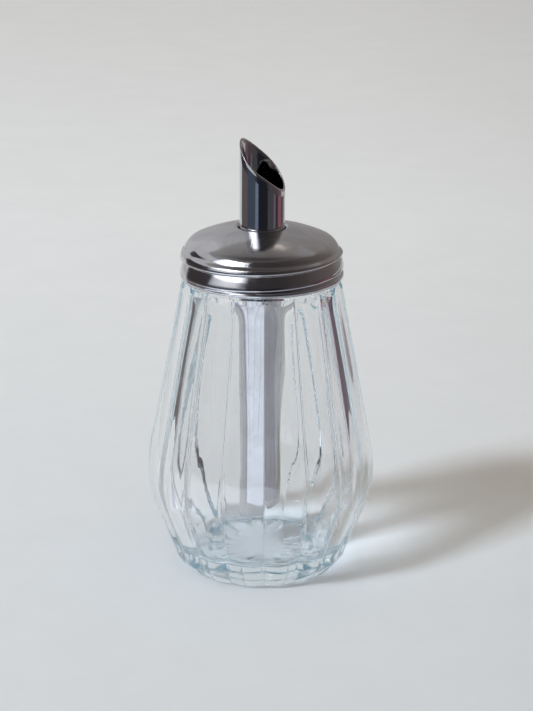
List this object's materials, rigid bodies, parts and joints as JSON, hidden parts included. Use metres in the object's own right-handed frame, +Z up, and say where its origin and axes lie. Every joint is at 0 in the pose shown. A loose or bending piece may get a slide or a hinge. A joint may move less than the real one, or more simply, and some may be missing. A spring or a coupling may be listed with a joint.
{
  "type": "glass sugar dispenser",
  "caption": "Lobed clear glass jar with a domed steel screw lid and a slant-cut steel pouring tube that reaches down inside; the jar is empty.",
  "frame": {"origin": "centre of the jar's foot, on the surface that it stands on", "axes": "+Z up along the jar's axis; the spout's slanted opening faces +X, turned 20 degrees towards -Y"},
  "size_m": [0.077, 0.077, 0.1492],
  "materials": {
    "jar_glass": "clear pressed soda glass with a faint blue-green tint, smooth and glossy",
    "lid_steel": "pressed stainless steel sheet, bright polished with fine turning marks",
    "tube_steel": "drawn stainless steel tube, mirror polished"
  },
  "bodies": {
    "root": {"jar": "jar_glass", "lid": "lid_steel", "tube": "tube_steel"}
  },
  "joints": []
}
